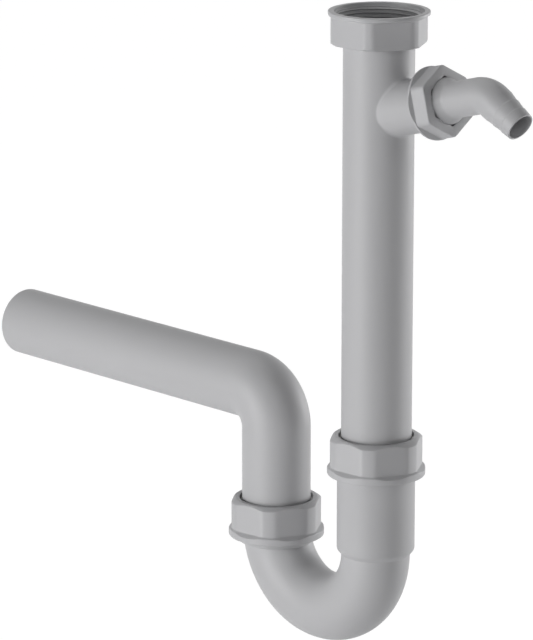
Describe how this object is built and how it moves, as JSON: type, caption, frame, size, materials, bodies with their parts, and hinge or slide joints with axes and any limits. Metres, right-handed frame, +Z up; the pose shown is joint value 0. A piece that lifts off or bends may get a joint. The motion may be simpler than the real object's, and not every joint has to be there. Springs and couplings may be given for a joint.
{
  "type": "kitchen sink trap",
  "caption": "Tubular sink trap: U bend with slip nuts, straight inlet pipe under a union nut, elbowed outlet pipe, and a tilted side branch with a barbed hose nozzle",
  "frame": {"origin": "on the inlet pipe's axis, in the gasket's upper face, where the sink waste seals", "axes": "+Z up along the inlet pipe towards the sink; +X towards the hose branch; the outlet pipe runs level along -X; the whole run of pipe lies in the XZ plane"},
  "size_m": [0.4173, 0.0568, 0.3737],
  "materials": {
    "pipe_plastic": "satin light grey moulded polypropylene",
    "nut_plastic": "satin light grey moulded polypropylene",
    "washer_plastic": "smooth natural white plastic",
    "seal_rubber": "dull black moulded rubber"
  },
  "bodies": {
    "union_nut": {"inlet_union_nut": "nut_plastic"},
    "gasket": {"inlet_gasket": "seal_rubber"},
    "inlet_tube": {"inlet_tee": "pipe_plastic", "inlet_branch": "pipe_plastic", "inlet_tube": "pipe_plastic"},
    "branch_seal": {"branch_seal": "seal_rubber"},
    "branch_nut": {"branch_nut": "nut_plastic"},
    "hose_nozzle": {"hose_nozzle": "pipe_plastic"},
    "inlet_seal": {"inlet_cone_seal": "seal_rubber"},
    "trap_bend": {"trap_socket": "pipe_plastic", "trap_bend": "pipe_plastic", "trap_outlet": "pipe_plastic"},
    "inlet_washer": {"inlet_slip_washer": "washer_plastic"},
    "inlet_slip_nut": {"inlet_slip_nut": "nut_plastic"},
    "outlet_seal": {"outlet_cone_seal": "seal_rubber"},
    "outlet_bend": {"outlet_bend": "pipe_plastic", "outlet_pipe": "pipe_plastic"},
    "outlet_washer": {"outlet_slip_washer": "washer_plastic"},
    "outlet_slip_nut": {"outlet_slip_nut": "nut_plastic"}
  },
  "joints": [
    {"name": "tube_lift", "type": "slide", "parent": "union_nut", "child": "gasket", "axis": [0, 0, 1], "range_m": [0, 0.012]},
    {"name": "tube_swivel", "type": "hinge", "parent": "gasket", "child": "inlet_tube", "pos_m": [0, 0, 0], "axis": [0, 0, 1], "continuous": true},
    {"name": "branch_nut_travel", "type": "slide", "parent": "inlet_tube", "child": "branch_seal", "axis": [0.9659, 0, 0.2588], "range_m": [0, 0.0047]},
    {"name": "branch_nut_turn", "type": "hinge", "parent": "branch_seal", "child": "branch_nut", "pos_m": [0.0483, 0, -0.03436], "axis": [0.9659, 0, 0.2588], "range_deg": [0, 720]},
    {"name": "nozzle_swivel", "type": "hinge", "parent": "branch_seal", "child": "hose_nozzle", "pos_m": [0.0483, 0, -0.03436], "axis": [0.9659, 0, 0.2588], "continuous": true},
    {"name": "trap_height", "type": "slide", "parent": "inlet_tube", "child": "inlet_seal", "axis": [0, 0, 1], "range_m": [-0.022, 0.019]},
    {"name": "trap_swivel", "type": "hinge", "parent": "inlet_seal", "child": "trap_bend", "pos_m": [0, 0, -0.24], "axis": [0, 0, 1], "continuous": true},
    {"name": "inlet_nut_travel", "type": "slide", "parent": "trap_bend", "child": "inlet_washer", "axis": [0, 0, 1], "range_m": [0, 0.0093]},
    {"name": "inlet_nut_turn", "type": "hinge", "parent": "inlet_washer", "child": "inlet_slip_nut", "pos_m": [0, 0, -0.24], "axis": [0, 0, 1], "range_deg": [0, 1440]},
    {"name": "outlet_swivel", "type": "hinge", "parent": "trap_bend", "child": "outlet_seal", "pos_m": [-0.0818, 0, -0.2943], "axis": [0, 0, 1], "range_deg": [-135, 135]},
    {"name": "outlet_lift", "type": "slide", "parent": "outlet_seal", "child": "outlet_bend", "axis": [0, 0, 1], "range_m": [0, 0.006]},
    {"name": "outlet_nut_travel", "type": "slide", "parent": "trap_bend", "child": "outlet_washer", "axis": [0, 0, 1], "range_m": [0, 0.0093]},
    {"name": "outlet_nut_turn", "type": "hinge", "parent": "outlet_washer", "child": "outlet_slip_nut", "pos_m": [-0.0818, 0, -0.2943], "axis": [0, 0, 1], "range_deg": [0, 1440]}
  ],
  "couplings": [
    {"joint": "branch_nut_travel", "follows": "branch_nut_turn", "m_per_rad": 0.00036749},
    {"joint": "inlet_nut_travel", "follows": "inlet_nut_turn", "m_per_rad": 0.00036749},
    {"joint": "outlet_nut_travel", "follows": "outlet_nut_turn", "m_per_rad": 0.00036749}
  ]
}
